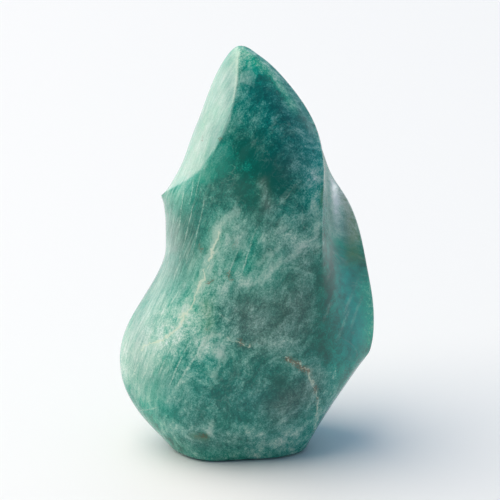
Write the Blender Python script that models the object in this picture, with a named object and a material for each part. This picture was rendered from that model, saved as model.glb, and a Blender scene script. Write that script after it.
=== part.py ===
"""A polished free-form flame of amazonite, one solid stone on a small flat base.

The carver ground long hollows into the rough stone, and the sharp ridges are where
two hollows meet. They wind clockwise, seen from above, on their way down from the
tip. The stone is a loft through named feature lines that run from the base to the
tip. Its frame has the origin at the middle of the base, +Z up, and the side that
the photograph shows facing -Y.
"""

import math

import bmesh
import bpy
import numpy as np

MM = 0.001
HEIGHT = 100.0
BASE_EDGE_RADIUS = 1.2
LEVELS = 46
COLUMNS_PER_SPAN = 5
SMOOTH_BELOW_DEG = 24.0

# The tip, then the feature lines. Each holds (height, x, y) in millimetres, from the
# base up to just under the tip, and they go round the stone clockwise from above:
# front, left, back, right.
TIP = (-0.5, 0.4)
LINES = {
    "front_ridge": (
        (0, -5.0, 9.8), (10, -6.5, 15.5), (22, -8.0, 19.0), (36, -10.0, 18.5),
        (48, -13.5, 14.8), (56, -17.3, 8.6), (62, -19.1, 1.5), (66, -16.0, -3.3),
        (69.5, -11.9, -7.8), (75, -7.8, -11.0), (80.5, -5.4, -11.5), (90, -2.0, -9.3),
        (96.5, -1.1, -4.6),
    ),
    "left_hollow_near": (
        (0, -0.5, 10.6), (10, 0.5, 16.3), (22, 0.5, 20.0), (34, -1.0, 20.0),
        (46, -5.0, 18.6), (55, -10.2, 15.3), (62, -15.3, 8.8), (66, -15.8, 4.7),
        (70, -14.4, 1.0), (80, -10.1, -3.6), (90, -6.4, -3.6), (96.5, -3.7, -1.6),
    ),
    "left_hollow_far": (
        (0, 4.0, 10.6), (10, 7.3, 16.0), (22, 9.0, 19.8), (34, 8.0, 20.5),
        (46, 4.2, 20.1), (55, -0.3, 18.5), (62, -6.0, 15.8), (70, -11.3, 10.1),
        (80, -10.5, 3.5), (90, -7.3, 1.6), (96.5, -4.1, 1.0),
    ),
    "back_ridge": (
        (0, 8.5, 9.0), (10, 13.0, 14.0), (22, 16.5, 17.8), (34, 16.0, 19.5),
        (46, 13.5, 20.0), (55, 10.5, 19.5), (62, 7.0, 18.5), (70, 2.0, 16.5),
        (80, -1.5, 12.6), (90, -2.8, 7.6), (96.5, -1.7, 3.0),
    ),
    "back_hollow": (
        (0, 13.0, 4.8), (10, 19.0, 8.0), (22, 25.0, 10.5), (34, 24.6, 11.0),
        (46, 22.1, 12.0), (55, 19.3, 12.5), (62, 15.3, 13.3), (70, 11.3, 12.5),
        (80, 7.0, 10.7), (90, 2.9, 7.0), (96.5, 0.9, 3.0),
    ),
    "right_ridge": (
        (0, 14.7, -1.0), (8, 20.6, -0.6), (16, 26.0, 0.2), (20, 28.9, 0.8),
        (22.5, 30.8, 1.1), (26, 31.4, 1.4), (33, 31.4, 2.0), (40, 30.3, 3.0),
        (49, 28.6, 4.8), (55, 26.8, 6.8), (60.5, 23.9, 8.1), (63, 22.0, 8.4),
        (66, 20.6, 8.4), (70, 19.4, 8.1), (80, 14.5, 8.2), (90, 7.9, 6.2),
        (96.5, 3.2, 2.8),
    ),
    "right_hollow": (
        (0, 15.1, -4.0), (10, 20.7, -6.0), (22, 26.0, -6.8), (34, 25.5, -6.4),
        (46, 23.2, -5.6), (55, 21.2, -3.4), (62, 19.7, -1.5), (70, 18.9, 0.2),
        (80, 15.7, 3.9), (90, 9.6, 3.8), (96.5, 4.4, 2.1),
    ),
    "shoulder_ridge": (
        (0, 14.6, -8.0), (10, 17.9, -12.0), (22, 20.5, -13.2), (34, 20.0, -14.2),
        (46, 19.0, -14.6), (58, 18.9, -13.5), (66, 19.0, -11.9), (70.5, 19.3, -9.0),
        (76, 18.9, -4.2), (80, 17.6, -1.2), (85, 14.7, 1.2), (91, 10.2, 1.9),
        (96, 5.7, 1.3), (99.2, 1.3, 0.7),
    ),
    "brow_ridge": (
        (0, 9.8, -11.6), (10, 12.5, -16.3), (22, 14.0, -18.8), (34, 13.8, -19.2),
        (46, 12.5, -18.4), (55, 12.5, -17.6), (62, 13.3, -16.4), (70, 14.2, -14.2),
        (80, 12.6, -10.8), (87, 10.0, -8.2), (92, 7.0, -6.1), (96.5, 4.1, -3.5),
    ),
    "belly": (
        (0, 0.5, -13.3), (10, 0.5, -19.3), (22, -1.0, -21.5), (34, -1.0, -20.7),
        (46, 0.0, -19.0), (55, 1.5, -18.0), (62, 4.0, -17.3), (70, 7.2, -16.1),
        (80, 8.0, -13.1), (90, 6.0, -9.1), (96.5, 2.6, -4.3),
    ),
    "front_left": (
        (0, -9.8, -13.6), (10, -15.5, -17.5), (22, -18.0, -17.3), (34, -15.5, -16.3),
        (46, -12.5, -14.3), (55, -10.0, -13.8), (62, -6.0, -14.8), (70, 1.5, -15.7),
        (80, 3.6, -13.5), (90, 3.7, -9.5), (96.5, 1.4, -4.6),
    ),
    "left_flank": (
        (0, -16.2, -6.8), (4.5, -20.9, -5.8), (14, -27.9, -3.4), (22, -29.4, -1.5),
        (28, -28.3, -1.0), (38, -22.4, -1.0), (46, -18.3, -0.8), (55, -17.5, -4.0),
        (62, -13.0, -9.8), (70, -4.5, -13.9), (80, 0.4, -13.2), (90, 1.8, -9.7),
        (96.5, 0.5, -4.8),
    ),
    "left_back": (
        (0, -13.5, 4.0), (10, -20.0, 8.5), (22, -23.0, 12.0), (34, -20.6, 11.0),
        (46, -16.8, 9.0), (55, -18.4, 4.0), (62, -17.0, -4.0), (70, -9.0, -11.0),
        (80, -3.0, -12.5), (90, -0.3, -9.6), (96.5, -0.4, -4.8),
    ),
}

# How sharp each ridge is, from 0 (it melts into the surface) to 1 (a crisp edge), as
# (height, sharpness).
SHARPNESS = {
    "front_ridge": ((0, 0.0), (34, 0.0), (50, 0.8), (58, 1.0), (100, 1.0)),
    "back_ridge": ((0, 0.0), (12, 0.2), (30, 0.8), (100, 0.8)),
    "right_ridge": ((0, 0.0), (12, 0.5), (22, 1.0), (100, 1.0)),
    "shoulder_ridge": ((0, 0.0), (42, 0.0), (55, 0.4), (66, 1.0), (100, 1.0)),
    "brow_ridge": ((0, 0.0), (76, 0.0), (87, 0.8), (100, 0.8)),
}


def natural_spline(knots, values, at):
    """The natural cubic spline through (knots, values), read at the places in at."""
    knots = np.asarray(knots, float)
    values = np.asarray(values, float)
    step = np.diff(knots)
    slope = np.diff(values) / step
    count = len(knots)
    system = np.eye(count)
    right = np.zeros(count)
    for i in range(1, count - 1):
        system[i, i - 1] = step[i - 1]
        system[i, i] = 2 * (step[i - 1] + step[i])
        system[i, i + 1] = step[i]
        right[i] = 6 * (slope[i] - slope[i - 1])
    bend = np.linalg.solve(system, right)
    at = np.asarray(at, float)
    i = np.clip(np.searchsorted(knots, at) - 1, 0, count - 2)
    h = step[i]
    a = (knots[i + 1] - at) / h
    b = (at - knots[i]) / h
    curve = (a**3 - a) * bend[i] + (b**3 - b) * bend[i + 1]
    return a * values[i] + b * values[i + 1] + curve * h * h / 6


def depth_below_tip(height):
    """0 at the tip and 1 at the base. Equal steps of it are short steps near the blunt tip."""
    return np.sqrt(1 - np.asarray(height, float) / HEIGHT)


def line_points(name, heights):
    """The feature line's (x, y) at each height."""
    knots = LINES[name]
    depth = [0.0] + [float(depth_below_tip(k[0])) for k in reversed(knots)]
    at = depth_below_tip(heights)
    x = natural_spline(depth, [TIP[0]] + [k[1] for k in reversed(knots)], at)
    y = natural_spline(depth, [TIP[1]] + [k[2] for k in reversed(knots)], at)
    return np.stack([x, y], axis=1)


def outline(points, sharpness, columns):
    """A closed plan outline through the lines' points, with a corner at each sharp one."""
    after = np.roll(points, -1, axis=0)
    before = np.roll(points, 1, axis=0)
    reach = np.linalg.norm(after - points, axis=1, keepdims=True) + 1e-9
    back = np.roll(reach, 1, axis=0)
    smooth = ((points - before) / back * reach + (after - points) / reach * back) / (reach + back)
    ahead = np.roll(smooth, -1, axis=0)
    behind = np.roll(smooth, 1, axis=0)
    leave = 1.5 * (after - points) / reach - 0.5 * ahead
    arrive = 1.5 * (points - before) / back - 0.5 * behind
    s = sharpness[:, None]
    leave = smooth * (1 - s) + leave * s
    arrive = smooth * (1 - s) + arrive * s
    found = []
    for i in range(len(points)):
        j = (i + 1) % len(points)
        for t in np.arange(columns) / columns:
            h00, h10 = 2 * t**3 - 3 * t**2 + 1, t**3 - 2 * t**2 + t
            h01, h11 = 3 * t**2 - 2 * t**3, t**3 - t**2
            found.append(
                h00 * points[i] + h10 * reach[i] * leave[i]
                + h01 * points[j] + h11 * reach[i] * arrive[j]
            )
    return np.array(found)


def base_inset(height):
    """How far the rounded edge draws the outline in, just above the flat base."""
    if height >= BASE_EDGE_RADIUS:
        return 0.0
    rest = BASE_EDGE_RADIUS - height
    return BASE_EDGE_RADIUS - math.sqrt(BASE_EDGE_RADIUS**2 - rest**2)


def level_heights(levels):
    """Heights of the rings, from the flat base to just under the tip."""
    edge = [BASE_EDGE_RADIUS * (1 - math.cos(a)) for a in np.linspace(0, math.pi / 2, 4)]
    depth = np.linspace(float(depth_below_tip(BASE_EDGE_RADIUS)), 0, levels)[1:-1]
    return edge + [HEIGHT * (1 - d * d) for d in depth]


def stone_rings(levels, columns):
    """The stone's surface as rings of points in millimetres, from the base up."""
    heights = level_heights(levels)
    lines = np.stack([line_points(name, heights) for name in LINES])
    rings = []
    for k, height in enumerate(heights):
        sharpness = np.array([
            np.interp(height, *zip(*SHARPNESS[name])) if name in SHARPNESS else 0.0
            for name in LINES
        ])
        ring = outline(lines[:, k], sharpness, columns)
        centre = ring.mean(axis=0)
        out = ring - centre
        length = np.linalg.norm(out, axis=1, keepdims=True)
        ring = centre + out * (1 - base_inset(height) / length)
        rings.append([(x, y, height) for x, y in ring])
    return rings


def stone_mesh(name, levels=LEVELS, columns=COLUMNS_PER_SPAN):
    """The closed stone: the rings bridged, a flat base and a tip."""
    rings = stone_rings(levels, columns)
    bm = bmesh.new()
    rows = [[bm.verts.new([c * MM for c in p]) for p in ring] for ring in rings]
    tip = bm.verts.new((TIP[0] * MM, TIP[1] * MM, HEIGHT * MM))
    around = len(rows[0])
    bm.faces.new(rows[0])
    for low, high in zip(rows, rows[1:]):
        for i in range(around):
            j = (i + 1) % around
            bm.faces.new((low[j], low[i], high[i], high[j]))
    for i in range(around):
        bm.faces.new((rows[-1][(i + 1) % around], rows[-1][i], tip))
    bmesh.ops.recalc_face_normals(bm, faces=bm.faces)
    mesh = bpy.data.meshes.new(name)
    bm.to_mesh(mesh)
    bm.free()
    mesh.shade_smooth()
    mesh.set_sharp_from_angle(angle=math.radians(SMOOTH_BELOW_DEG))
    return mesh


def polished_amazonite():
    material = bpy.data.materials.new("polished_amazonite")
    material.use_nodes = True
    shader = material.node_tree.nodes["Principled BSDF"]
    shader.inputs["Base Color"].default_value = (0.07, 0.30, 0.24, 1.0)
    shader.inputs["Roughness"].default_value = 0.22
    shader.inputs["Metallic"].default_value = 0.0
    return material


def main():
    for item in list(bpy.data.objects):
        bpy.data.objects.remove(item)
    collection = bpy.data.collections.new("amazonite_flame")
    bpy.context.scene.collection.children.link(collection)
    stone = bpy.data.objects.new("flame_stone", stone_mesh("flame_stone"))
    stone.data.materials.append(polished_amazonite())
    collection.objects.link(stone)


main()
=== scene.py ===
# %% [markdown]
# # A polished flame of amazonite
#
# Amazonite is a blue-green feldspar. A carver ground this piece into a flame with hollows
# that wind round it, cut a flat base and polished it. This lesson takes the plain CAD
# solid of the stone, refines its skin, paints where the mineral's markings lie, with some
# painted light and reflection among them, and builds a stone material that grows fine
# detail inside those places.
#
# The first cell loads the imported solid as a fixed frame. The finished stone has to stay
# the same size.

# %% Load the frame
import math

import bmesh
import bpy
import numpy as np
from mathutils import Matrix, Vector, noise
from mathutils.bvhtree import BVHTree


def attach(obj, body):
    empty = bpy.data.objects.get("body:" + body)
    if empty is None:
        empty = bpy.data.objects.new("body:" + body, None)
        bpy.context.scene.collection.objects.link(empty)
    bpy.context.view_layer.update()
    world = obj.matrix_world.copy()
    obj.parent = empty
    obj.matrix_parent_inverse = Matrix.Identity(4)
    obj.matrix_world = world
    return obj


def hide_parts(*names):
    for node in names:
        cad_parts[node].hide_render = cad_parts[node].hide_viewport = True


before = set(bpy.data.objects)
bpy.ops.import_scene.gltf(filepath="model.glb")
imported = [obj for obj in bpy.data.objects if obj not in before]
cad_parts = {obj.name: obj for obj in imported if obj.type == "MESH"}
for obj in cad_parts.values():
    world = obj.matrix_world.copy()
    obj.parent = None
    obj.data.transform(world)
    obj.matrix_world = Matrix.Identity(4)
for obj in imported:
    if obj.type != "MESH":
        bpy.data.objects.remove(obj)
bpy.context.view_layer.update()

MM = 0.001

# %% [markdown]
# ## The camera
#
# The photograph looks slightly down on the stone from far away, so the perspective is
# weak. The camera comes first here, because the markings below are placed by where the
# photograph shows them, and a ray from the camera finds that place on the stone.
#
# One pixel of the photograph is a known number of millimetres at the stone, and the
# middle of the base is at a known pixel. The lens and the aim follow from those.

# %% Place the camera
PHOTO_SIDE = 500
PIXELS_PER_MM = 4.19
FOOT_PIXEL = (242.0, 438.8)
CAMERA_PITCH = math.radians(22)
CAMERA_DISTANCE = 1800.0

look = Vector((0, math.cos(CAMERA_PITCH), -math.sin(CAMERA_PITCH)))
up = Vector((0, math.sin(CAMERA_PITCH), math.cos(CAMERA_PITCH)))
right = Vector((1, 0, 0))
middle = PHOTO_SIDE / 2
aim = (right * (middle - FOOT_PIXEL[0]) + up * (FOOT_PIXEL[1] - middle)) / PIXELS_PER_MM
eye = aim - look * CAMERA_DISTANCE

lens = bpy.data.cameras.new("photo_camera")
lens.sensor_width = 36
lens.lens = lens.sensor_width * CAMERA_DISTANCE * PIXELS_PER_MM / PHOTO_SIDE
lens.clip_end = 10
camera = bpy.data.objects.new("photo_camera", lens)
camera.location = eye * MM
camera.rotation_euler = look.to_track_quat("-Z", "Y").to_euler()
bpy.context.scene.collection.objects.link(camera)
bpy.context.scene.camera = camera
print("lens", round(lens.lens), "mm, eye at", [round(c) for c in eye], "mm")

# %% [markdown]
# ## From loose triangles to a clean skin
#
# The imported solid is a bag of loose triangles. A copy of it is merged, its flat base
# becomes one face, and pairs of triangles go back to four-sided faces, because a
# subdivision surface runs smoothly over those.

# %% Merge a copy of the solid
SAME_PLACE = 0.0001 * MM
ON_THE_FLOOR = 0.01 * MM
NEARLY_FLAT = math.radians(40)
ANY_SHAPE = math.pi
stone_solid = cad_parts["flame_stone"]
skin = bmesh.new()
skin.from_mesh(stone_solid.data)
bmesh.ops.remove_doubles(skin, verts=skin.verts, dist=SAME_PLACE)
foot = [f for f in skin.faces if max(v.co.z for v in f.verts) < ON_THE_FLOOR]
bmesh.ops.dissolve_faces(skin, faces=foot)
bmesh.ops.join_triangles(
    skin,
    faces=[f for f in skin.faces if len(f.verts) == 3],
    angle_face_threshold=NEARLY_FLAT,
    angle_shape_threshold=ANY_SHAPE,
)
four_sided = sum(len(f.verts) == 4 for f in skin.faces)
print(f"{len(skin.faces)} faces, {four_sided} of them four-sided")

# %% [markdown]
# ## Ridges and hollows
#
# Where two hollows meet, the carver left a ridge that is crisp and yet polished. A ridge
# is an edge whose two faces turn sharply from each other. Such edges get a crease, which
# the subdivision surface keeps, and the crease fades with the angle, so a ridge can melt
# into the skin as the real ones do. The ridge under the pale left face is the crispest, so
# the edges in a box round it, given in mm along x, y and z, get a stronger crease.

# %% Crease the ridges
RIDGE_STARTS = math.radians(14)
RIDGE_IS_FULL = math.radians(30)
FULL_CREASE = 0.60
crease = skin.edges.layers.float.new("crease_edge")
ridge_edges = []
for edge in skin.edges:
    turn = edge.calc_face_angle(0.0)
    share = min(1.0, max(0.0, (turn - RIDGE_STARTS) / (RIDGE_IS_FULL - RIDGE_STARTS)))
    if share > 0:
        edge[crease] = FULL_CREASE * share
        ridge_edges.append(edge)

CRISP_RIDGE = math.radians(15)
CRISP_CREASE = 0.85
UNDER_LEFT_FACE = ((-30, -5), (-30, 0), (63.5, 83))
crisp_edges = 0
for edge in ridge_edges:
    centre = (edge.verts[0].co + edge.verts[1].co) / 2 / MM
    inside = all(low < c < high for c, (low, high) in zip(centre, UNDER_LEFT_FACE))
    if inside and edge.calc_face_angle(0.0) > CRISP_RIDGE:
        edge[crease] = CRISP_CREASE
        crisp_edges += 1
print(len(ridge_edges), "ridge edges,", crisp_edges, "of them crisp")

# %% [markdown]
# Between the ridges the solid is made of small flat facets, where the real skin flows. The
# points there are relaxed towards their neighbours, sideways only, so that the stone keeps
# its height. The tip and the base are left out of it.

# %% Relax the skin between the ridges
RELAX_FROM = 4 * MM
RELAX_UP_TO = 97 * MM
RELAX_PASSES = 4
RELAX_SHARE = 0.4
on_ridge = {v for e in ridge_edges for v in e.verts}
free = [v for v in skin.verts if v not in on_ridge and RELAX_FROM < v.co.z < RELAX_UP_TO]
for _ in range(RELAX_PASSES):
    bmesh.ops.smooth_vert(skin, verts=free, factor=RELAX_SHARE, use_axis_x=True, use_axis_y=True)
print(len(free), "points relaxed")

# %% [markdown]
# ## Subdivide
#
# A Subdivision Surface modifier rounds the skin, and its result is applied, so that the
# next steps can work on the fine points. Sculpting in Dyntopo would also give a fine skin,
# but not the same one on every run.

# %% Apply a subdivision surface
SUBDIVISIONS = 2
rough_mesh = bpy.data.meshes.new("polished_flame")
skin.to_mesh(rough_mesh)
skin.free()
flame = bpy.data.objects.new("polished_flame", rough_mesh)
bpy.context.scene.collection.objects.link(flame)
rounder = flame.modifiers.new("round_the_skin", "SUBSURF")
rounder.levels = SUBDIVISIONS
rounder.render_levels = SUBDIVISIONS
smooth_copy = flame.evaluated_get(bpy.context.evaluated_depsgraph_get())
fine_mesh = bpy.data.meshes.new_from_object(smooth_copy)
flame.modifiers.clear()
flame.data = fine_mesh
bpy.data.meshes.remove(rough_mesh)
fine_mesh.name = "polished_flame"
print(len(fine_mesh.vertices), "points after the subdivision")

# %% [markdown]
# Some faces are still long, mostly near the base. Their long edges are cut once more, so
# that the markings can be painted as finely there as elsewhere.

# %% Cut the long edges
LONG_EDGE = 0.85 * MM
CUT_ABOVE = 1 * MM
ROUNDING = 0.6
skin = bmesh.new()
skin.from_mesh(fine_mesh)
high_edges = [e for e in skin.edges if e.verts[0].co.z > CUT_ABOVE]
long_edges = [e for e in high_edges if e.calc_length() > LONG_EDGE]
bmesh.ops.subdivide_edges(skin, edges=long_edges, cuts=1, smooth=ROUNDING, use_grid_fill=True)
print(len(skin.verts), "points,", sum(len(f.verts) - 2 for f in skin.faces), "triangles")

# %% [markdown]
# ## The polisher's hand
#
# A wheel never leaves a perfect surface. Slow waves a few hundredths of a millimetre deep
# bend the reflections of a real polished stone. Each point is moved inwards along its
# normal by smooth noise, so the stone doesn't grow. Noise from a fixed field gives the
# same stone on every run. There are two waves, each with a length and a depth in
# millimetres, and the flat base has none.

# %% Wave the surface
WAVES = ((11.0, 0.10), (4.5, 0.035))
WAVES_START = 1.5 * MM
skin.normal_update()
for point in skin.verts:
    if point.co.z > WAVES_START:
        spot = point.co / MM
        depth = sum(d * (0.5 + 0.5 * noise.noise(spot / length)) for length, d in WAVES)
        point.co -= point.normal * depth * MM
skin.normal_update()
skin_tree = BVHTree.FromBMesh(skin)
skin.to_mesh(fine_mesh)
skin.free()
fine_mesh.shade_smooth()
points = np.array([v.co for v in fine_mesh.vertices]) / MM
normals = np.array([v.normal for v in fine_mesh.vertices])
print("top of the stone at", round(points[:, 2].max(), 2), "mm")

# %% [markdown]
# ## Where the markings lie
#
# The stone's colour wanders: deep teal near the top, milky clouds in the middle, a cream
# vein where a crack healed. They could be painted by hand in Weight Paint. Here each
# stroke is written down instead, with a name, a width in millimetres, a strength, and the
# pixels of the photograph that it runs through. A ray from the camera finds each pixel's
# place on the stone, and the ink fades with the distance in space. The strokes are broad
# on purpose, and the material breaks them up into fine detail.

# %% Helpers for painting on the stone
ink = {}
STROKE_STEPS = 9
FACING_STARTS = 0.3
FACING_IS_FULL = 0.7
FAR_OUT = 200


def seen_at(u, v):
    """The place on the stone, and its normal, that the camera sees at a pixel."""
    across = (u - middle) / PIXELS_PER_MM
    above = (middle - v) / PIXELS_PER_MM
    target = aim + right * across + up * above
    return skin_tree.ray_cast(eye * MM, (target - eye).normalized())[:2]


def seen_level(azimuth, height):
    """The same for a level look at the axis, from an azimuth in degrees and at a height."""
    angle = math.radians(azimuth)
    out = Vector((math.sin(angle), -math.cos(angle), 0))
    start = out * FAR_OUT + Vector((0, 0, height))
    return skin_tree.ray_cast(start * MM, -out)[:2]


def stroke(layer, width, strength, path, find):
    """Adds ink along a path. It fades with distance and doesn't go round a ridge."""
    nearest = np.full(len(points), np.inf)
    facing = np.zeros(len(points))
    for start, end in zip(path, path[1:] or path):
        for share in np.linspace(0, 1, STROKE_STEPS):
            place, normal = find(*(np.array(start) * (1 - share) + np.array(end) * share))
            if place is None:
                continue
            gap = ((points - np.array(place) / MM) ** 2).sum(axis=1)
            closer = gap < nearest
            nearest[closer] = gap[closer]
            facing[closer] = (normals @ np.array(normal))[closer]
    turned = np.clip((facing - FACING_STARTS) / (FACING_IS_FULL - FACING_STARTS), 0, 1)
    ink.setdefault(layer, np.zeros(len(points)))
    ink[layer] += strength * np.exp(-nearest / width**2) * turned


def fill(layer, strength, softness, corners):
    """Adds ink to the seen surface inside a shape. Its edge fades over a few pixels."""
    from_eye = points - np.array(eye)
    ahead = from_eye @ np.array(look) / CAMERA_DISTANCE
    flat = np.stack([
        middle + from_eye @ np.array(right) / ahead * PIXELS_PER_MM,
        middle - from_eye @ np.array(up) / ahead * PIXELS_PER_MM,
    ], axis=1)
    seen = normals @ np.array(look) < 0
    inside = np.zeros(len(points), bool)
    gap = np.full(len(points), np.inf)
    for start, end in zip(corners, corners[1:] + corners[:1]):
        start = np.array(start, float)
        side = np.array(end, float) - start
        share = np.clip((flat - start) @ side / (side @ side), 0, 1)
        gap = np.minimum(gap, np.linalg.norm(flat - start - share[:, None] * side, axis=1))
        crosses = (flat[:, 1] < start[1]) != (flat[:, 1] < start[1] + side[1])
        over = start[0] + (flat[:, 1] - start[1]) * side[0] / (side[1] or 1)
        inside ^= crosses & (flat[:, 0] < over)
    ink.setdefault(layer, np.zeros(len(points)))
    ink[layer] += strength * seen * np.clip(np.where(inside, gap, -gap) / softness + 0.5, 0, 1)


def paint(layer, strokes, find=seen_at):
    """Lays named strokes on a layer. Each is a width in mm, a strength and a path."""
    for width, strength, path in strokes.values():
        stroke(layer, width, strength, path, find)
    print(f"{layer}: {len(strokes)} strokes, {ink[layer].min():.2f} to {ink[layer].max():.2f}")


print("a stroke has", STROKE_STEPS, "steps between two pixels")

# %% [markdown]
# ### Pale and deep places
#
# The first layer holds how pale the stone is. Strokes above zero are milky, and strokes
# below zero are the clear deep teal. A few pale strokes are painted light instead, as
# marked where they lie: on the left face, on the rim right of the tip and in the hollow
# behind the right ridge.

# %% Paint the upper half pale and deep
paint("pale", {
    # Painted light: this stroke makes the left face paler, standing in for the window light and
    # sheen that the face catches.
    "left face": (5.5, 0.15, [(222, 84), (216, 115), (204, 142), (182, 180)]),
    "left face, beside the ridge": (2.2, -0.08, [(232, 52), (230, 98)]),
    "left face, low right": (2.2, -0.10, [(213, 134), (208, 154)]),
    "tip": (2.5, 0.18, [(240, 49), (252, 56)]),
    # Painted reflection: this strip faces up and to the right, and the stroke makes it paler,
    # standing in for the brighter surroundings that it reflects.
    "rim right of the tip": (2.0, 0.26, [(262, 62), (279, 84), (292, 104)]),
    "core of the hollow": (3.6, -0.27, [(262, 92), (278, 104), (287, 124)]),
    "deep band": (4.5, -0.25, [(252, 138), (278, 160), (302, 178)]),
    "deepest spot": (2.8, -0.36, [(268, 170), (279, 186), (283, 198)]),
    "dark corner": (5.0, -0.25, [(250, 160), (249, 184)]),
    "beside the column": (3.0, -0.14, [(226, 190), (227, 212)]),
    "under the left face": (4.5, -0.16, [(236, 140), (222, 172), (215, 186)]),
    "behind the figure": (3.5, -0.22, [(206, 200), (196, 225)]),
    "between the columns": (3.0, -0.22, [(236, 184), (240, 204), (262, 214), (274, 226)]),
    "blue grey shoulder": (2.0, 0.32, [(312, 172), (314, 200)]),
    "inside the right loop": (2.0, -0.16, [(300, 200), (304, 222)]),
    # Painted reflection: the next four strokes make the hollow behind the right ridge pale,
    # standing in for the bright grey-white reflection it shows, along with the white card's
    # reflection.
    "hollow behind the ridge": (2.8, 0.50, [(332, 172), (336, 200)]),
    "hollow behind the ridge, lower": (2.3, 0.32, [(336, 208), (338, 230)]),
    "beyond the hollow": (2.5, 0.40, [(349, 203), (356, 236)]),
    "side of the hollow": (2.0, 0.28, [(343, 190), (347, 206)]),
    "rim above the shoulder": (2.5, 0.10, [(318, 150), (321, 176)]),
    "sill of the upper hollow": (3.0, -0.12, [(264, 158), (274, 172)]),
    "end of the facet": (3.5, 0.32, [(367, 290), (370, 330)]),
    "field right of the wisp": (4.0, 0.04, [(272, 234), (292, 236)]),
    "field under the wisp": (4.5, 0.15, [(214, 294), (240, 280), (272, 276)]),
    "right of the grey field": (4.0, -0.05, [(286, 294), (292, 302)]),
    "beside the island": (3.0, -0.10, [(250, 312), (252, 322)]),
    "above the dome": (4.0, -0.06, [(289, 334), (291, 352)]),
    "flank, low": (3.0, 0.10, [(172, 254), (168, 278)]),
    "below the bend": (2.5, 0.10, [(192, 312), (200, 322)]),
    "above the rusty part": (3.0, 0.20, [(262, 332), (280, 338)]),
})

# %% [markdown]
# The lower half has milky ground on the lobe and along the crack that runs up the middle,
# and deep fields beside the right ridge and on the dome at the foot.

# %% Paint the lower half pale and deep
paint("pale", {
    "body of the figure": (3.5, 0.10, [(230, 224), (222, 248), (208, 278)]),
    "dark wedge": (1.3, -0.14, [(268, 251), (262, 256)]),
    "right of the long wisp": (5.0, -0.16, [(290, 278), (318, 290)]),
    "dark field in the middle": (6.0, -0.15, [(240, 312), (290, 325), (318, 350)]),
    "strip along the right ridge": (3.0, -0.18, [(325, 236), (325, 345)]),
    "strip behind the right ridge": (2.0, -0.26, [(332, 250), (331, 300)]),
    "left flank": (3.5, -0.12, [(184, 215), (192, 250)]),
    "neck": (3.5, 0.13, [(166, 196), (168, 212)]),
    "neck, lower": (3.0, 0.12, [(168, 244), (160, 282)]),
    "under the lobe, left": (3.0, 0.05, [(130, 316), (124, 350)]),
    "right facet": (4.0, 0.08, [(354, 295), (358, 335)]),
    "top of the lobe": (5.5, 0.26, [(124, 338), (136, 322), (160, 306)]),
    "lobe under the vein": (5.0, 0.28, [(124, 365), (150, 352), (186, 322)]),
    "lower lobe": (4.0, 0.12, [(128, 378), (142, 392)]),
    "green field by the lobe": (4.0, 0.15, [(206, 334), (198, 300)]),
    "under the bend of the vein": (2.5, -0.14, [(190, 334), (192, 346)]),
    "left of the dome": (3.0, 0.22, [(210, 352), (210, 372)]),
    "under the lobe": (4.0, 0.12, [(140, 394), (200, 398)]),
    "lobe, left": (3.5, 0.10, [(152, 296), (146, 320), (150, 350)]),
    "green corner": (3.0, -0.03, [(156, 404), (168, 420)]),
    "dark heart of the dome": (6.0, -0.20, [(228, 382), (258, 374)]),
    "lower dome": (5.0, -0.20, [(196, 404), (240, 408), (280, 400)]),
    "foot": (3.5, -0.07, [(190, 440), (240, 446)]),
    "right of the dome": (5.0, -0.06, [(300, 410), (318, 380)]),
})

# %% [markdown]
# ### Places with an edge
#
# A few places end at a sharp line, such as the pale left face at its ridge, or a flake in
# the stone. A soft stroke can't end like that, so these are filled shapes, whose corners
# are pixels too. For each layer a shape has a strength, and a width in pixels over which
# its edge fades. The olive, streaky and calm layers are explained further down.

# %% Fill the places that have an edge
SHAPES = {
    # Painted light: the left face is filled paler and greyer, standing in for the window light and
    # sheen on it, and its crisp edge follows the ridge. Its streaks are the stone's own.
    "left face": (
        [
            (238, 44), (238.5, 62), (237, 82), (234, 103), (229, 124), (221, 140), (208, 159),
            (200, 170), (190, 178), (178, 185), (163, 193), (145, 192), (180, 120), (200, 60),
            (230, 36),
        ],
        {"pale": (0.27, 1.6), "rich": (-0.18, 2.0), "streaky": (0.6, 2.0), "calm": (0.5, 2.0)},
    ),
    "below the left face": (
        [
            (221, 142), (209, 161), (201, 172), (190, 180), (206, 184), (228, 176), (236, 158),
            (232, 142),
        ],
        {"pale": (0.04, 3.0), "rich": (0.08, 4.0), "calm": (0.9, 4.0)},
    ),
    "patch below the tip": (
        [(240, 74), (244, 71), (252, 70), (257, 76), (254, 88), (247, 84), (240, 82)],
        {"pale": (0.14, 1.5), "rich": (-0.20, 1.5), "calm": (0.7, 1.5)},
    ),
    "dark corner": (
        [(240, 170), (260, 172), (259, 205), (244, 209), (240, 196)],
        {"pale": (-0.09, 4.0)},
    ),
    "green flake": (
        [(256, 229), (262, 233), (262, 262), (246, 276), (243, 270)],
        {"rich": (0.10, 2.0), "pale": (-0.08, 2.0)},
    ),
    "dark flake": (
        [(238, 251), (243, 250), (233, 276), (226, 282)],
        {"rich": (0.15, 2.0), "pale": (-0.16, 2.0)},
    ),
    "patch on the dome": (
        [(211, 344), (219, 341), (226, 348), (222, 358), (213, 358)],
        {"pale": (0.10, 1.5), "rich": (-0.15, 1.5), "calm": (0.7, 1.5)},
    ),
    "beyond the hollow": (
        [(342, 190), (352, 198), (364, 240), (366, 262), (345, 266), (346, 225), (342, 205)],
        {"olive": (0.45, 6.0)},
    ),
    "behind the ridge": (
        [(325, 160), (340, 180), (348, 215), (346, 262), (327, 262), (326, 200)],
        {"streaky": (0.50, 5.0)},
    ),
    "right facet": (
        [(334, 262), (352, 255), (372, 300), (371, 332), (345, 362), (328, 372), (326, 300)],
        {"calm": (0.35, 5.0), "streaky": (-0.25, 5.0)},
    ),
}
for corners, layers in SHAPES.values():
    for layer, (strength, softness) in layers.items():
        fill(layer, strength, softness, corners)
print(len(SHAPES), "shapes filled, layers so far:", ", ".join(ink))
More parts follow.
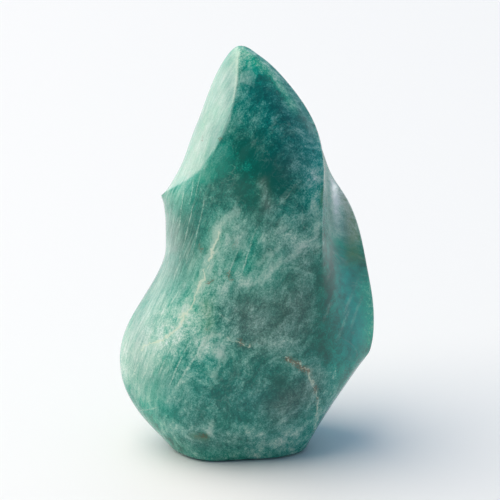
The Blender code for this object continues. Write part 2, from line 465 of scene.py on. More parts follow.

# %% [markdown]
# ### Rich and greyed places
#
# Clear feldspar is strongly coloured, and clouded feldspar is greyer at the same
# brightness. So the saturation has a layer of its own, above zero for richer and below
# zero for greyer. A few of its strokes stand in for light instead, as marked where they lie.

# %% Paint how rich the colour is
paint("rich", {
    "tip": (3.5, 0.25, [(250, 58), (258, 68)]),
    "rim right of the tip": (2.5, 0.20, [(268, 72), (288, 100)]),
    "figure": (7.0, -0.18, [(240, 236), (290, 240)]),
    "low on the lobe": (6.0, -0.10, [(146, 384), (168, 400), (190, 425)]),
    "along the foot": (4.0, -0.15, [(200, 440), (280, 442)]),
    "left flank": (8.0, -0.33, [(174, 250), (168, 272), (142, 318), (134, 345)]),
    "neck": (5.0, -0.18, [(166, 205), (174, 232)]),
    # Painted reflection: this stroke greys the area beyond the hollow behind the right ridge,
    # standing in for its white reflection.
    "beyond the hollow": (2.5, -0.40, [(350, 205), (356, 236)]),
    # Painted light: the left face is greyed for the sheen it catches.
    "left face": (6.5, -0.10, [(222, 80), (216, 112), (196, 160)]),
    "grey column": (1.8, -0.30, [(263, 182), (268, 206)]),
    "grey field": (8.0, -0.28, [(240, 308), (290, 318)]),
    "below the grey field": (4.0, -0.20, [(250, 336), (272, 340)]),
    "right of the dome": (6.0, -0.34, [(285, 410), (308, 390)]),
    # Painted reflection: the next two strokes grey the hollow behind the ridge and its side,
    # standing in for the white reflection there.
    "hollow behind the ridge": (2.6, -0.45, [(333, 176), (337, 226)]),
    "side of the hollow": (2.5, -0.40, [(343, 190), (347, 208), (348, 240)]),
    "below the hollow in front": (3.0, -0.15, [(290, 150), (290, 165)]),
    # Painted shade: the next two strokes make the right facet richer than the stone's own teal, a
    # painted darkening of the grey reflection this face shows.
    "right facet": (8.0, 1.35, [(342, 285), (356, 340)]),
    "facet beside the ridge": (3.0, 1.10, [(336, 272), (338, 332)]),
    "dark corner": (4.0, 0.20, [(250, 166), (251, 186)]),
    "right front": (5.0, -0.16, [(308, 262), (310, 300)]),
    "low left edge": (3.0, 0.30, [(146, 408), (154, 420)]),
    "green corner": (3.0, 0.15, [(156, 400), (168, 412)]),
    "flake in the figure": (1.6, 0.15, [(254, 238), (245, 266)]),
    "right ridge": (3.0, 0.15, [(310, 100), (322, 160)]),
})

# %% [markdown]
# The hue wanders too, from green in most of the stone to blue in the hollow under the tip,
# on the right facet and on the dome. A third layer leans it to blue.

# %% Lean the hue to blue
paint("blue", {
    "core of the hollow": (8.0, 0.9, [(262, 97), (284, 116), (300, 150)]),
    "rim right of the tip": (2.5, -0.9, [(262, 62), (279, 84), (292, 104)]),
    "beside the right ridge": (7.0, 0.4, [(312, 150), (316, 200)]),
    "right facet": (7.0, 0.9, [(345, 285), (352, 340)]),
    "dome": (12.0, 0.35, [(225, 385), (290, 395)]),
    "foot": (6.0, 0.3, [(200, 440), (290, 440)]),
})

# %% [markdown]
# ### Wisps
#
# Milky wisps have torn edges. Their strokes only say where the material's cloud noise may
# cross its threshold, so the noise gives each wisp its outline.

# %% Paint the wisps
paint("wisp", {
    "column under the left face": (1.5, 0.60, [(236, 164), (233, 186), (236, 210)]),
    "short column": (1.7, 0.40, [(214, 180), (212, 201)]),
    "grey column": (1.7, 0.45, [(263, 181), (268, 207)]),
    "edge of the figure": (1.6, 0.90, [(236, 212), (223, 219), (216, 233), (211, 252), (204, 270)]),
    "tail of the figure": (2.2, 0.70, [(204, 270), (196, 288), (188, 304)]),
    "head of the figure": (2.2, 0.05, [(230, 216), (244, 217), (254, 226)]),
    "body of the figure": (3.5, 0.45, [(228, 236), (222, 262), (210, 290)]),
    "right loop": (1.1, 0.55, [(281, 200), (298, 182), (311, 194), (318, 216), (318, 250)]),
    "tuft left of the loop": (1.3, 0.45, [(284, 203), (278, 220), (286, 230)]),
    "light field": (3.0, 0.40, [(268, 240), (286, 233)]),
    "short wisp": (0.9, 0.85, [(258, 264), (266, 256), (276, 250)]),
    "long wisp": (
        1.2, 0.95, [(242, 280), (252, 285), (262, 277), (275, 266), (292, 257), (306, 245)]
    ),
    "milky column": (3.0, 0.40, [(308, 214), (313, 250)]),
    "flecks in the hollow": (3.5, 0.35, [(286, 104), (276, 128), (304, 132)]),
    "flecks below": (3.0, 0.35, [(250, 142), (258, 158)]),
    "crest of the lobe": (3.2, 0.45, [(150, 329), (166, 323), (182, 314)]),
    "arch over the grey patch": (0.9, 0.95, [(200, 357), (205, 339), (215, 333), (228, 341)]),
    "grey patch": (1.4, 0.60, [(214, 347), (221, 354)]),
    "under the grey patch": (0.9, 0.70, [(213, 376), (220, 366), (224, 356)]),
    "start of the rusty vein": (1.5, 0.75, [(260, 341), (282, 345)]),
    "flecks on the dome": (5.0, 0.30, [(200, 395), (250, 372)]),
    "edge of the dome": (1.0, 0.70, [(309, 373), (316, 390), (319, 412), (316, 432)]),
    "spot by the foot": (0.9, 1.00, [(213, 422), (209, 434)]),
    "along the foot": (1.3, 0.65, [(255, 447), (284, 441)]),
    # Painted reflection: this milky wisp stands in for the bright reflection in the hollow behind
    # the ridge.
    "hollow behind the ridge": (2.4, 0.60, [(333, 182), (336, 212)]),
})

# %% [markdown]
# ### The back
#
# The photograph doesn't show the back, so these strokes only carry on the kinds of
# marking that the front has. Their places are azimuths in degrees and heights in mm.

# %% Paint the back and the sides
paint("pale", {
    "high on the back": (7.0, 0.16, [(205, 86), (190, 66)]),
    "dark field": (8.0, -0.26, [(150, 62), (172, 44)]),
    "milky belly": (7.0, 0.20, [(225, 34), (205, 22)]),
    "dark foot": (6.0, -0.20, [(165, 14), (130, 12)]),
    "right side": (5.0, -0.14, [(85, 25), (95, 45)]),
}, find=seen_level)
paint("wisp", {
    "back cloud": (2.6, 0.60, [(150, 74), (163, 60), (186, 52)]),
    "back loop": (1.2, 0.90, [(196, 66), (214, 50), (208, 34), (186, 26)]),
    "back tuft": (2.0, 0.50, [(170, 30), (155, 24)]),
    "right side": (1.4, 0.80, [(92, 22), (104, 36), (118, 58)]),
    "left side": (2.0, 0.50, [(262, 40), (245, 26)]),
}, find=seen_level)
paint("rich", {
    "grey field": (8.0, -0.25, [(215, 45), (190, 35)]),
    "dark field": (8.0, 0.15, [(150, 62), (172, 44)]),
}, find=seen_level)
paint("vein", {
    "back": (1.5, 0.85, [(232, 26), (222, 38), (206, 46), (190, 43), (172, 51)]),
    "back branch": (1.2, 0.70, [(206, 46), (198, 58), (196, 68)]),
}, find=seen_level)
paint("rust", {
    "back, first": (0.9, 0.9, [(214, 42), (208, 45)]),
    "back, second": (0.7, 0.8, [(190, 43), (187, 44)]),
}, find=seen_level)

# %% [markdown]
# ### The vein and its stains
#
# A healed crack makes the cream vein. It runs down the middle, turns left over the lobe,
# and another one goes round the dome. Broad strokes say where the stone is hazy. Straight
# cracks between pairs of pixels, each with a width in millimetres, give it its line, and
# the material makes them waver.
# Iron has stained it in brown specks, and some places are stained a faint olive.

# %% Paint the vein
paint("vein", {
    "top": (1.3, 0.60, [(229, 218), (220, 226), (217, 234)]),
    "left of the figure": (1.5, 0.80, [(217, 234), (215, 243), (212, 252)]),
    "down the figure": (1.7, 0.65, [(212, 252), (207, 266), (201, 282)]),
    "towards the lobe": (1.4, 0.75, [(201, 282), (197, 296), (189, 308), (184, 316)]),
    "on the lobe": (1.3, 0.85, [(184, 316), (179, 327), (168, 337), (157, 344)]),
    "end": (1.3, 0.70, [(157, 344), (145, 346), (133, 352)]),
    "arch": (1.1, 0.60, [(206, 334), (222, 336), (236, 342), (252, 346)]),
    "rusty part": (1.4, 0.80, [(283, 357), (294, 361), (301, 367), (309, 371)]),
    "down the edge": (1.1, 0.75, [(309, 371), (315, 388), (318, 410), (315, 430)]),
    "foot of the long wisp": (1.2, 0.60, [(243, 280), (250, 284)]),
})

CRACKS = {
    "left of the figure": (0.55, [(218, 231), (212.5, 251)]),
    "down the figure": (0.50, [(212.5, 251), (201, 282)]),
    "towards the lobe": (0.55, [(201, 282), (193, 303)]),
    "at the bend": (0.60, [(193, 303), (184, 315)]),
    "on the lobe": (0.55, [(184, 315), (177, 330)]),
    "turning left": (0.55, [(177, 330), (165, 338)]),
    "end": (0.50, [(165, 338), (139, 349)]),
    "branch": (0.45, [(184, 313), (160, 333)]),
    "arch": (0.40, [(228, 339), (252, 346)]),
    "rusty part": (0.55, [(284, 357), (309, 371)]),
    "edge, upper": (0.50, [(309, 371), (318, 400)]),
    "edge, lower": (0.50, [(318, 400), (315, 430)]),
}
print("cracks:", ", ".join(CRACKS))

# %% Paint the stains
paint("rust", {
    "vein, first": (1.0, 0.9, [(288, 359), (297, 363)]),
    "vein, second": (0.9, 0.8, [(300, 368), (309, 371)]),
    "edge, upper": (0.7, 0.9, [(315.5, 388), (316, 391)]),
    "edge, lower": (0.6, 0.8, [(317.5, 398), (317.5, 399)]),
    "arch, first": (0.6, 0.8, [(240, 340), (241, 345)]),
    "arch, second": (0.5, 0.7, [(251, 345), (252, 345)]),
    "foot": (1.0, 0.7, [(198, 437), (206, 436)]),
    "left of the figure": (0.6, 0.7, [(200, 246), (201.5, 251)]),
    "in the figure": (0.5, 0.7, [(235, 243), (234.5, 247)]),
    "below the figure": (0.7, 0.7, [(228, 273), (231, 279)]),
    "tail": (0.6, 0.7, [(208, 283), (212, 281)]),
    "near the short wisp": (0.5, 0.5, [(255, 265), (255, 266)]),
    "left face": (0.5, 0.6, [(203, 137), (202, 141)]),
    "ridge": (0.5, 0.8, [(219, 139), (221, 139)]),
    "island": (0.5, 0.6, [(208, 328), (208, 329)]),
})
paint("olive", {
    "beyond the hollow": (2.3, 0.4, [(340, 190), (350, 208), (354, 232), (351, 255)]),
    "right ridge": (0.7, 0.8, [(322, 148), (324.5, 165), (324, 182), (322, 205)]),
    "island": (1.4, 0.5, [(207, 305), (209, 328)]),
    "grey column": (1.6, 0.18, [(262, 182), (266, 200)]),
    "foot": (1.3, 0.7, [(196, 436), (204, 437)]),
})

# %% [markdown]
# ### Streaked places and painted ridge highlights
#
# On the left flank and on the pale left face the stone is cut across its sheets, so it is
# streaked there instead of clouded. This layer mixes the two patterns. Two ridges near the
# tip get a thin pale line, a painted highlight where their crest catches the light, and it
# gets a narrow layer of its own.

# %% Say where the stone is streaked, and paint highlights on two ridges
paint("streaky", {
    "left face": (8.0, 0.6, [(218, 60), (212, 120), (178, 180)]),
    "left flank": (9.0, 1.0, [(172, 205), (180, 262), (130, 330), (146, 380)]),
    "right facet": (7.0, 0.8, [(350, 250), (358, 340)]),
    "figure": (7.0, 0.3, [(240, 240), (262, 280)]),
})
paint("streaky", {
    "left side": (8.0, 0.45, [(262, 15), (250, 48), (240, 82)]),
    "back of the right side": (8.0, 0.8, [(112, 15), (118, 45), (140, 78)]),
}, find=seen_level)
# Painted highlight: the edge layer is a thin pale line where two ridge crests catch the light.
paint("edge", {
    "ridge below the tip": (0.7, 1.0, [(239, 52), (237, 62), (236.5, 82), (233, 101)]),
    "rim right of the tip": (0.7, 0.5, [(255, 54), (266, 71), (273, 86), (281, 99), (288, 108)]),
})

# %% [markdown]
# ### Threads
#
# Threads are thin straight flakes that catch the light. Each one that stands out gets a
# line between two pixels, with a width in millimetres and a strength, and the material
# draws it. The threads layer only keeps the line from showing again on the far side.

# %% Lay the threads
FAR_SIDE_WIDTH = 2.5
THREADS = {
    "long, in the figure": (0.30, 0.85, [(256.5, 226), (241, 275)]),
    "second, in the figure": (0.30, 0.85, [(238.5, 249), (222, 291)]),
    "lobe, first": (0.35, 1.00, [(144, 351), (132, 377)]),
    "lobe, second": (0.35, 1.00, [(163, 345), (149, 379)]),
    "lobe, third": (0.40, 1.00, [(202, 344), (176, 388)]),
    "lobe, fourth": (0.30, 0.90, [(176, 336), (160, 372)]),
    "lobe, fifth": (0.30, 0.90, [(187, 346), (170, 384)]),
    "lobe, sixth": (0.30, 0.80, [(150, 358), (141, 384)]),
    "lobe, low": (0.25, 1.00, [(141, 411), (158, 407)]),
    "flank, upper": (0.20, 0.60, [(201, 171), (188, 228)]),
    "flank, middle": (0.24, 0.60, [(188, 228), (173, 284)]),
    "flank, left": (0.20, 0.60, [(184, 188), (178, 230)]),
    "flank, right": (0.20, 0.60, [(204, 200), (193, 252)]),
    "flank, short": (0.20, 0.60, [(194, 178), (189, 205)]),
    "flank, low": (0.24, 0.60, [(168, 262), (142, 310)]),
    "flank, lowest": (0.24, 0.60, [(178, 292), (152, 336)]),
    "island": (0.30, 0.85, [(219, 313), (230, 321)]),
    "facet, first": (0.60, 0.32, [(326, 281), (334, 266)]),
    "facet, second": (0.60, 0.32, [(323, 322), (331, 303)]),
    "facet, third": (0.60, 0.32, [(337, 340), (349, 311)]),
    "facet, fourth": (0.60, 0.32, [(344, 314), (358, 280)]),
    "facet, fifth": (0.60, 0.32, [(350, 330), (364, 292)]),
    "beside the loop": (0.25, 0.40, [(298, 182), (284, 200)]),
}
paint("threads", {
    name: (FAR_SIDE_WIDTH, strength, path) for name, (_, strength, path) in THREADS.items()
})

# %% [markdown]
# ### Keep the ink on the mesh
#
# Each layer becomes a named attribute with one number at each point of the mesh. An
# Attribute node reads it by that name, as it would read a painted vertex group.

# %% Store the layers on the mesh
for name, values in ink.items():
    layer = fine_mesh.attributes.new(name, "FLOAT", "POINT")
    layer.data.foreach_set("value", values.astype(np.float32))
print(len(ink), "layers:", ", ".join(ink))

# %% [markdown]
# ## The stone material
#
# The material is one Principled shader whose colour, roughness and bump come from nodes.
# It could be wired by hand in the Shader Editor. In a script, one short helper per kind of
# node keeps the wiring readable, because each line then says what it works out.

# %% Short names for the nodes
stone = bpy.data.materials.new("polished_amazonite")
stone.use_nodes = True
tree = stone.node_tree
shader = tree.nodes["Principled BSDF"]


def step(kind, inputs, out=0, **settings):
    """Adds one node, fills or links its inputs, and returns one of its outputs."""
    made = tree.nodes.new("ShaderNode" + kind)
    for name, value in settings.items():
        setattr(made, name, value)
    for place, value in inputs.items():
        if isinstance(value, bpy.types.NodeSocket):
            tree.links.new(value, made.inputs[place])
        else:
            made.inputs[place].default_value = value
    return made.outputs[out]


def calc(operation, *values, clamp=False):
    """One sum, product or the like."""
    return step("Math", dict(enumerate(values)), operation=operation, use_clamp=clamp)


def fade(value, low, high, to_low=0.0, to_high=1.0):
    """A smooth step from one value to another between two limits."""
    limits = {"Value": value, "From Min": low, "From Max": high}
    limits.update({"To Min": to_low, "To Max": to_high})
    return step("MapRange", limits, interpolation_type="SMOOTHSTEP")


def vector(operation, first, second, out=0):
    """The same as calc for two vectors."""
    return step("VectorMath", {0: first, 1: second}, out, operation=operation)


def cloud(where, scale, detail=2.0, roughness=0.5, out="Fac"):
    """Noise whose blots are about one over the scale long, in millimetres."""
    inputs = {"Vector": where, "Scale": scale, "Detail": detail, "Roughness": roughness}
    return step("TexNoise", inputs, out)


def around_zero(value):
    """Noise as a change up or down."""
    return calc("SUBTRACT", value, 0.5)


def painted(layer):
    """The ink of a layer."""
    return step("Attribute", {}, "Fac", attribute_name=layer)


def near(layer):
    """One where a layer has ink and zero elsewhere, so that noise alone draws nothing."""
    full_ink = 0.25
    return calc("DIVIDE", painted(layer), full_ink, clamp=True)


def blend(share, under, over):
    """One colour laid over another by a share."""
    return step("Mix", {0: share, 6: under, 7: over}, 2, data_type="RGBA")


def total(*parts):
    """Adds several (value, weight) pairs."""
    whole = 0.0
    for value, weight in parts:
        whole = calc("MULTIPLY_ADD", value, weight, whole)
    return whole


print("the material starts with", len(tree.nodes), "nodes")

# %% [markdown]
# ### Sheets in the stone
#
# Amazonite is a feldspar in which a second, paler feldspar separated into thin sheets as
# it cooled. Cut and polished, the sheets show as pale streaks that all run one way. A
# noise that is drawn out along the sheets gives such streaks, on every side of the stone
# alike, since it fills the space that the stone is cut from. An image wrapped round the
# stone would smear or show a seam. Places are in millimetres.

# %% The stone's own directions
place = step("VectorMath", {0: step("TexCoord", {}, "Object"), "Scale": 1 / MM}, operation="SCALE")


def pushed(where, scale, reach):
    """The same places, pushed about by a noise, so that patterns on them bend."""
    push = vector("SUBTRACT", cloud(where, scale, out="Color"), (0.5, 0.5, 0.5))
    push = step("VectorMath", {0: push, "Scale": reach}, operation="SCALE")
    return vector("ADD", where, push)


bent = pushed(place, 0.09, 5.0)
swayed = pushed(place, 0.05, 3.0)
torn = pushed(bent, 0.9, 0.9)

SHEET_NORMAL = Vector((0.66, -0.70, -0.25)).normalized()
steep = Vector((0, 0, 1))
steep = (steep - SHEET_NORMAL * steep.dot(SHEET_NORMAL)).normalized()
level = SHEET_NORMAL.cross(steep)


def in_sheets(where, stretch):
    """Places measured across the sheets and along them, so that a noise draws out along them."""
    ways = ((SHEET_NORMAL, 1.0), (steep, stretch), (level, stretch))
    measured = [vector("DOT_PRODUCT", where, way * size, "Value") for way, size in ways]
    return step("CombineXYZ", dict(enumerate(measured)))


fine_streaks = around_zero(cloud(in_sheets(swayed, 0.12), 1.5, 4, 0.7))
broad_streaks = around_zero(cloud(in_sheets(swayed, 0.09), 0.40, 3, 0.55))


def seams(where, scale, width, detail=1.0):
    """Thin lines where a noise passes its middle."""
    off_middle = calc("ABSOLUTE", around_zero(cloud(where, scale, detail)))
    return fade(off_middle, 0.0, width, 1.0, 0.0)


wide_lines = seams(in_sheets(swayed, 0.05), 0.45, 0.030)
narrow_lines = seams(in_sheets(swayed, 0.07), 0.80, 0.035)
lines = calc("MAXIMUM", wide_lines, narrow_lines)
lines_here = fade(cloud(in_sheets(place, 0.4), 0.35, 2, 0.6), 0.44, 0.62)
lines = calc("MULTIPLY", lines, lines_here)

MOTTLE_LOST_IN_STREAKS = 0.90
streaky = calc("MINIMUM", painted("streaky"), 1.0)
mottled = calc("MULTIPLY_ADD", streaky, -MOTTLE_LOST_IN_STREAKS, 1.0)

print("the sheets face", [round(part, 2) for part in SHEET_NORMAL])

# %% [markdown]
# ### Clouds, wisps and grains
#
# Between the streaks the stone is curdled: broad clouds, curds of a few millimetres, grains
# of a millimetre and a fine dust. Each is a noise of its own size. A wisp shows where
# smoke-like noise and the painted wisp together pass a threshold, so its edge is torn.
# Filaments are its finest threads.

# %% Clouds, grains and wisps
clouds = around_zero(cloud(bent, 0.085, 4, 0.55))
curds = around_zero(cloud(in_sheets(bent, 0.5), 0.40, 4, 0.6))
grains = around_zero(cloud(in_sheets(bent, 0.42), 0.90, 5, 0.72))
dust = around_zero(cloud(place, 2.8, 3, 0.65))
smoke = around_zero(cloud(in_sheets(torn, 0.38), 0.60, 6, 0.68))
flake_colour = step("TexVoronoi", {"Vector": in_sheets(torn, 0.45), "Scale": 1.5}, "Color")
flakes = around_zero(step("SeparateColor", {0: flake_colour}, 0))
filaments = calc("MULTIPLY", seams(torn, 0.33, 0.035, 3), fade(cloud(place, 0.2), 0.42, 0.60))

WISP_STARTS = 0.03
WISP_IS_FULL = 0.28
wisps = total((painted("wisp"), 0.22), (smoke, 1.0), (grains, 0.25))
wisps = fade(wisps, WISP_STARTS, WISP_IS_FULL)
wisps = calc("MULTIPLY", wisps, calc("MULTIPLY_ADD", painted("wisp"), 0.60, 0.22), clamp=True)
filaments = calc("MULTIPLY", filaments, calc("MULTIPLY_ADD", painted("wisp"), 0.80, 0.16))
veils = calc("MULTIPLY", calc("MAXIMUM", wisps, filaments), mottled)
print(len(tree.nodes), "nodes after the wisps")

# %% [markdown]
# ### How pale the stone is
#
# Now the painted paleness and all the noises are added, each with a weight. Calm places
# get less of the noise. The sum is lifted, and a smooth maximum keeps it above zero
# without the flat dark blots that a plain limit would leave.

# %% Add up the paleness
LOST_IN_CALM = 0.60
LIFT = 0.35
SMOOTH_OVER = 0.30
calm = calc("MULTIPLY_ADD", calc("MINIMUM", painted("calm"), 1.0), -LOST_IN_CALM, 1.0)
texture = total(
    (calc("MULTIPLY", clouds, calc("ADD", mottled, 0.3)), 0.32),
    (calc("MULTIPLY", curds, mottled), 1.00),
    (calc("MULTIPLY", grains, mottled), 1.15),
    (calc("MULTIPLY", flakes, mottled), 0.16),
    (calc("MULTIPLY", dust, calc("ADD", mottled, 0.5)), 0.80),
    (calc("MULTIPLY", fine_streaks, calc("ADD", streaky, 0.15)), 0.65),
    (calc("MULTIPLY", broad_streaks, calc("MULTIPLY", streaky, calm)), 0.30),
)
texture = calc("MULTIPLY", texture, calm)
pale = total((painted("pale"), 1.0), (texture, 1.0), (veils, 0.20))
pale = calc("SMOOTH_MAX", calc("ADD", pale, LIFT), 0.0, SMOOTH_OVER)
print(len(tree.nodes), "nodes after the paleness")

# %% [markdown]
# ### From pale and deep to colours
#
# A colour ramp turns the pale value into a colour, from nearly black teal to milky mint.
# There are two ramps, a green one and a blue one, because the stone wanders between them.
# Veils lie over that as a greyish milk, and the saturation follows the rich layer.


# %% Colour the stone
def shades(value, *stops):
    """A colour ramp with evenly spaced stops."""
    ramp = tree.nodes.new("ShaderNodeValToRGB")
    tree.links.new(value, ramp.inputs[0])
    marks = ramp.color_ramp.elements
    for _ in range(len(stops) - 2):
        marks.new(0.5)
    for number, colour in enumerate(stops):
        marks[number].position = number / (len(stops) - 1)
        marks[number].color = (*colour, 1)
    return ramp.outputs[0]


green = shades(
    pale, (0.001, 0.11, 0.08), (0.018, 0.245, 0.175), (0.10, 0.40, 0.29),
    (0.32, 0.60, 0.46), (0.68, 0.82, 0.72),
)
blue = shades(
    pale, (0.000, 0.105, 0.10), (0.009, 0.225, 0.20), (0.10, 0.37, 0.33),
    (0.34, 0.57, 0.51), (0.68, 0.79, 0.76),
)
BLUE_EVERYWHERE = 0.15
MILK = (0.38, 0.56, 0.47, 1)
blueness = calc("ADD", painted("blue"), calc("ADD", clouds, BLUE_EVERYWHERE), clamp=True)
colour = blend(blueness, green, blue)
veil_share = calc("MULTIPLY", veils, calc("MULTIPLY_ADD", pale, 0.70, 0.30))
colour = blend(veil_share, colour, MILK)
richness = total((painted("rich"), 1.0), (curds, -0.5), (grains, -0.3))
richness = calc("ADD", richness, 1.0)
colour = step("HueSaturation", {"Saturation": richness, "Color": colour}, "Color")
print(len(tree.nodes), "nodes after the colours")

# %% [markdown]
# ### Lines in the stone
#
# A thread or a crack is a thin slab in space that the skin cuts, so it shows as a line.
# The slab goes through the eye of the camera and two places on the stone. Places that are
# pushed about a little make it waver, and noise breaks it up. Painted straight on the mesh
# a line this thin would show the mesh's own points.


# %% Draw the threads
def straight_line(where, width, path, ends):
    """A thin line in the stone, seen between two pixels, as a slab that the skin cuts."""
    first, last = (seen_at(*pixel)[0] / MM for pixel in path)
    across = (first - eye).cross(last - eye).normalized()
    along = (last - first) / (last - first).length_squared
    halfway = first.dot(along) + 0.5
    aside = calc("SUBTRACT", vector("DOT_PRODUCT", where, across, "Value"), first.dot(across))
    beyond = calc("SUBTRACT", vector("DOT_PRODUCT", where, along, "Value"), halfway)
    inside = fade(calc("ABSOLUTE", beyond), 0.5 - ends, 0.5 + ends, 1.0, 0.0)
    return calc("MULTIPLY", fade(calc("ABSOLUTE", aside), 0.0, width, 1.0, 0.0), inside)


def all_lines(where, paths, ends):
    """The strongest of several lines at each place. Their ends fade over a share of them."""
    strongest = 0.0
    for width, *_, path in paths.values():
        strongest = calc("MAXIMUM", strongest, straight_line(where, width, path, ends))
    return strongest


THREAD_COLOUR = (0.62, 0.78, 0.66, 1)
THREAD_ENDS = 0.15
SHEET_LINES = 0.22
threads = all_lines(pushed(place, 0.35, 0.8), THREADS, THREAD_ENDS)
threads = calc("MULTIPLY", threads, calc("MINIMUM", painted("threads"), 1.0))
threads = calc("MULTIPLY", threads, fade(calc("ADD", curds, dust), -0.16, 0.16, 0.08, 0.52))
lines = calc("MULTIPLY", calc("MULTIPLY", lines, calm), calc("MULTIPLY", streaky, SHEET_LINES))
colour = blend(calc("MAXIMUM", lines, threads), colour, THREAD_COLOUR)
print(len(THREADS), "threads,", len(tree.nodes), "nodes")

# %% [markdown]
# ### Cracks, haze and rust
#
# The vein is a set of wavering cracks in a faint haze. The painted highlights on the
# ridges, the olive places and the brown specks of iron are all the same idea: painted ink
# plus ragged noise, taken past a threshold, so that each has a broken edge.

# %% Draw the vein and the stains
RIDGE_HIGHLIGHT_COLOUR = (0.60, 0.72, 0.60, 1)
OLIVE_COLOUR = (0.13, 0.25, 0.11, 1)
HAZE_COLOUR = (0.50, 0.67, 0.52, 1)
CRACK_COLOUR = (0.64, 0.72, 0.56, 1)
RUST_COLOUR = (0.13, 0.075, 0.035, 1)
CRACK_ENDS = 0.03
ragged = around_zero(cloud(place, 0.9, 5, 0.72))
# Painted highlight: the edge layer puts a pale line where two ridge crests near the tip catch the
# light.
ridge_highlight = fade(total((painted("edge"), 1.0), (ragged, 1.4)), 0.4, 1.1, 0.0, 0.4)
colour = blend(ridge_highlight, colour, RIDGE_HIGHLIGHT_COLOUR)
olive = total((painted("olive"), 0.6), (calc("MULTIPLY", smoke, painted("olive")), -2.0))
colour = blend(calc("MULTIPLY", olive, 1.0, clamp=True), colour, OLIVE_COLOUR)

haze = fade(total((painted("vein"), 1.0), (ragged, 2.2)), 0.30, 1.3)
colour = blend(calc("MULTIPLY", haze, 0.30), colour, HAZE_COLOUR)
cracks = all_lines(pushed(place, 0.55, 3.0), CRACKS, CRACK_ENDS)
cracks = calc("MULTIPLY", cracks, painted("vein"))
cracks = fade(total((cracks, 1.0), (ragged, 1.6)), 0.25, 0.75)
cracks = calc("MULTIPLY", cracks, near("vein"))
colour = blend(calc("MULTIPLY", cracks, 0.74), colour, CRACK_COLOUR)
rust = fade(total((painted("rust"), 1.0), (dust, 3.5)), 0.45, 0.85)
rust = calc("MULTIPLY", rust, near("rust"))
colour = blend(calc("MULTIPLY", rust, 0.75), colour, RUST_COLOUR)
print(len(CRACKS), "parts of the vein,", len(tree.nodes), "nodes")

# %% [markdown]
# ## The polish
#
# The polish is even but not a mirror. The pale feldspar wears a little differently from
# the clear one, so the gloss varies with the clouds, and the surface carries a grain that
# is felt in the highlights alone. Light also sinks a little way into the stone.

# %% Gloss, grain and depth
POLISHED = 0.14
GRAIN_DEPTH = 0.02 * MM
CONSTANTS = {
    "Specular IOR Level": 0.34,
    "Subsurface Weight": 0.15,
    "Subsurface Radius": (0.25, 1.0, 0.8),
    "Subsurface Scale": 1.5 * MM,
}
tree.links.new(colour, shader.inputs["Base Color"])
roughness = total((veils, 0.10), (grains, 0.12), (streaky, 0.03))
tree.links.new(calc("ADD", roughness, POLISHED), shader.inputs["Roughness"])
height = total((dust, 0.6), (grains, 1.0), (rust, -1.0), (threads, 0.3))
bump = step("Bump", {"Height": height, "Distance": GRAIN_DEPTH, "Strength": 1.0})
tree.links.new(bump, shader.inputs["Normal"])
for name, value in CONSTANTS.items():
    shader.inputs[name].default_value = value
fine_mesh.materials.clear()
fine_mesh.materials.append(stone)
print(len(tree.nodes), "nodes in the stone material")

# %% [markdown]
# ## The floor
#
# The stone stands on a pale, plain surface that runs out of the picture. One large flat
# sheet is enough for it.


# %% Lay the floor
def flat_floor(side):
    """A square sheet that the stone stands on."""
    sheet = bpy.data.meshes.new("floor")
    bm = bmesh.new()
    bmesh.ops.create_grid(bm, x_segments=1, y_segments=1, size=side / 2)
    bm.to_mesh(sheet)
    bm.free()
    return bpy.data.objects.new("floor", sheet)


FLOOR_SIDE = 6.0
PAINT = {"Base Color": (0.86, 0.86, 0.86, 1), "Roughness": 0.6}
floor = flat_floor(FLOOR_SIDE)
bpy.context.scene.collection.objects.link(floor)
white = bpy.data.materials.new("white_paint")
white.use_nodes = True
for name, value in PAINT.items():
    white.node_tree.nodes["Principled BSDF"].inputs[name].default_value = value
floor.data.materials.append(white)
print("floor", [round(length) for length in floor.dimensions], "m")

# %% [markdown]
# ## Light from all round
#
# In the photograph the shadow is bluish, so blue light comes from all round, and the far
# rims of the stone are bright, so more of it comes from behind and the left than from the
# front. A world whose strength follows the direction gives both without another lamp.

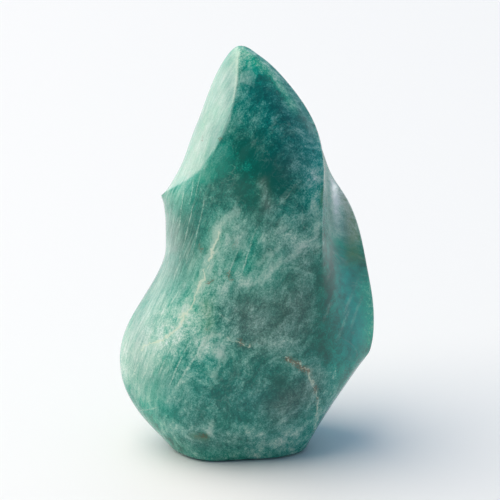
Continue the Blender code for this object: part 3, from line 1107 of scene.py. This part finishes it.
# %% Light the scene from all round
SKY_BLUE = (0.54, 0.74, 1.0, 1)
BRIGHT_SIDE = (-0.35, 0.88, 0.30)
SKY_STRENGTH = {"From Min": -0.7, "From Max": 0.9, "To Min": 0.28, "To Max": 0.76}
world = bpy.data.worlds.new("studio")
bpy.context.scene.world = world
world.use_nodes = True
sky = world.node_tree
backdrop = sky.nodes["Background"]
backdrop.inputs["Color"].default_value = SKY_BLUE
towards = sky.nodes.new("ShaderNodeTexCoord")
facing = sky.nodes.new("ShaderNodeVectorMath")
facing.operation = "DOT_PRODUCT"
facing.inputs[1].default_value = BRIGHT_SIDE
brightness = sky.nodes.new("ShaderNodeMapRange")
for name, value in SKY_STRENGTH.items():
    brightness.inputs[name].default_value = value
sky.links.new(towards.outputs["Generated"], facing.inputs[0])
sky.links.new(facing.outputs["Value"], brightness.inputs["Value"])
sky.links.new(brightness.outputs["Result"], backdrop.inputs["Strength"])
print("the world is brightest towards", BRIGHT_SIDE)

# %% [markdown]
# ## Window and card
#
# The main light is broad, soft and a little warm, and it comes from the upper left, so it
# is one large area lamp. A small white card behind the right side gives the hollow there
# its bright reflection, as a photographer's card would.


# %% Set the window and the card
def soft_light(name, place, aim_at, side, watts, colour):
    """A square area lamp at a place, turned towards another."""
    lamp = bpy.data.lights.new(name, "AREA")
    lamp.shape = "SQUARE"
    lamp.size = side
    lamp.energy = watts
    lamp.color = colour
    holder = bpy.data.objects.new(name, lamp)
    holder.location = place
    turn = (Vector(aim_at) - Vector(place)).to_track_quat("-Z", "Y")
    holder.rotation_euler = turn.to_euler()
    bpy.context.scene.collection.objects.link(holder)
    return holder


soft_light(
    "window", place=(-1.15, 0.05, 1.80), aim_at=(0, 0, 0.04), side=2.6,
    watts=66.5, colour=(1.0, 0.875, 0.715),
)
card = soft_light(
    "white_card", place=(1.50, 1.42, 0.06), aim_at=(0, 0, 0.06), side=0.3,
    watts=1.7, colour=(1.0, 1.0, 1.0),
)
card.visible_camera = False
bpy.context.scene.view_settings.view_transform = "Standard"
print("lamps:", [lamp.name for lamp in bpy.data.lights])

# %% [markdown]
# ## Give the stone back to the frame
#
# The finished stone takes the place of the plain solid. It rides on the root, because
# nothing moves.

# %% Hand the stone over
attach(flame, "root")
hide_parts("flame_stone")
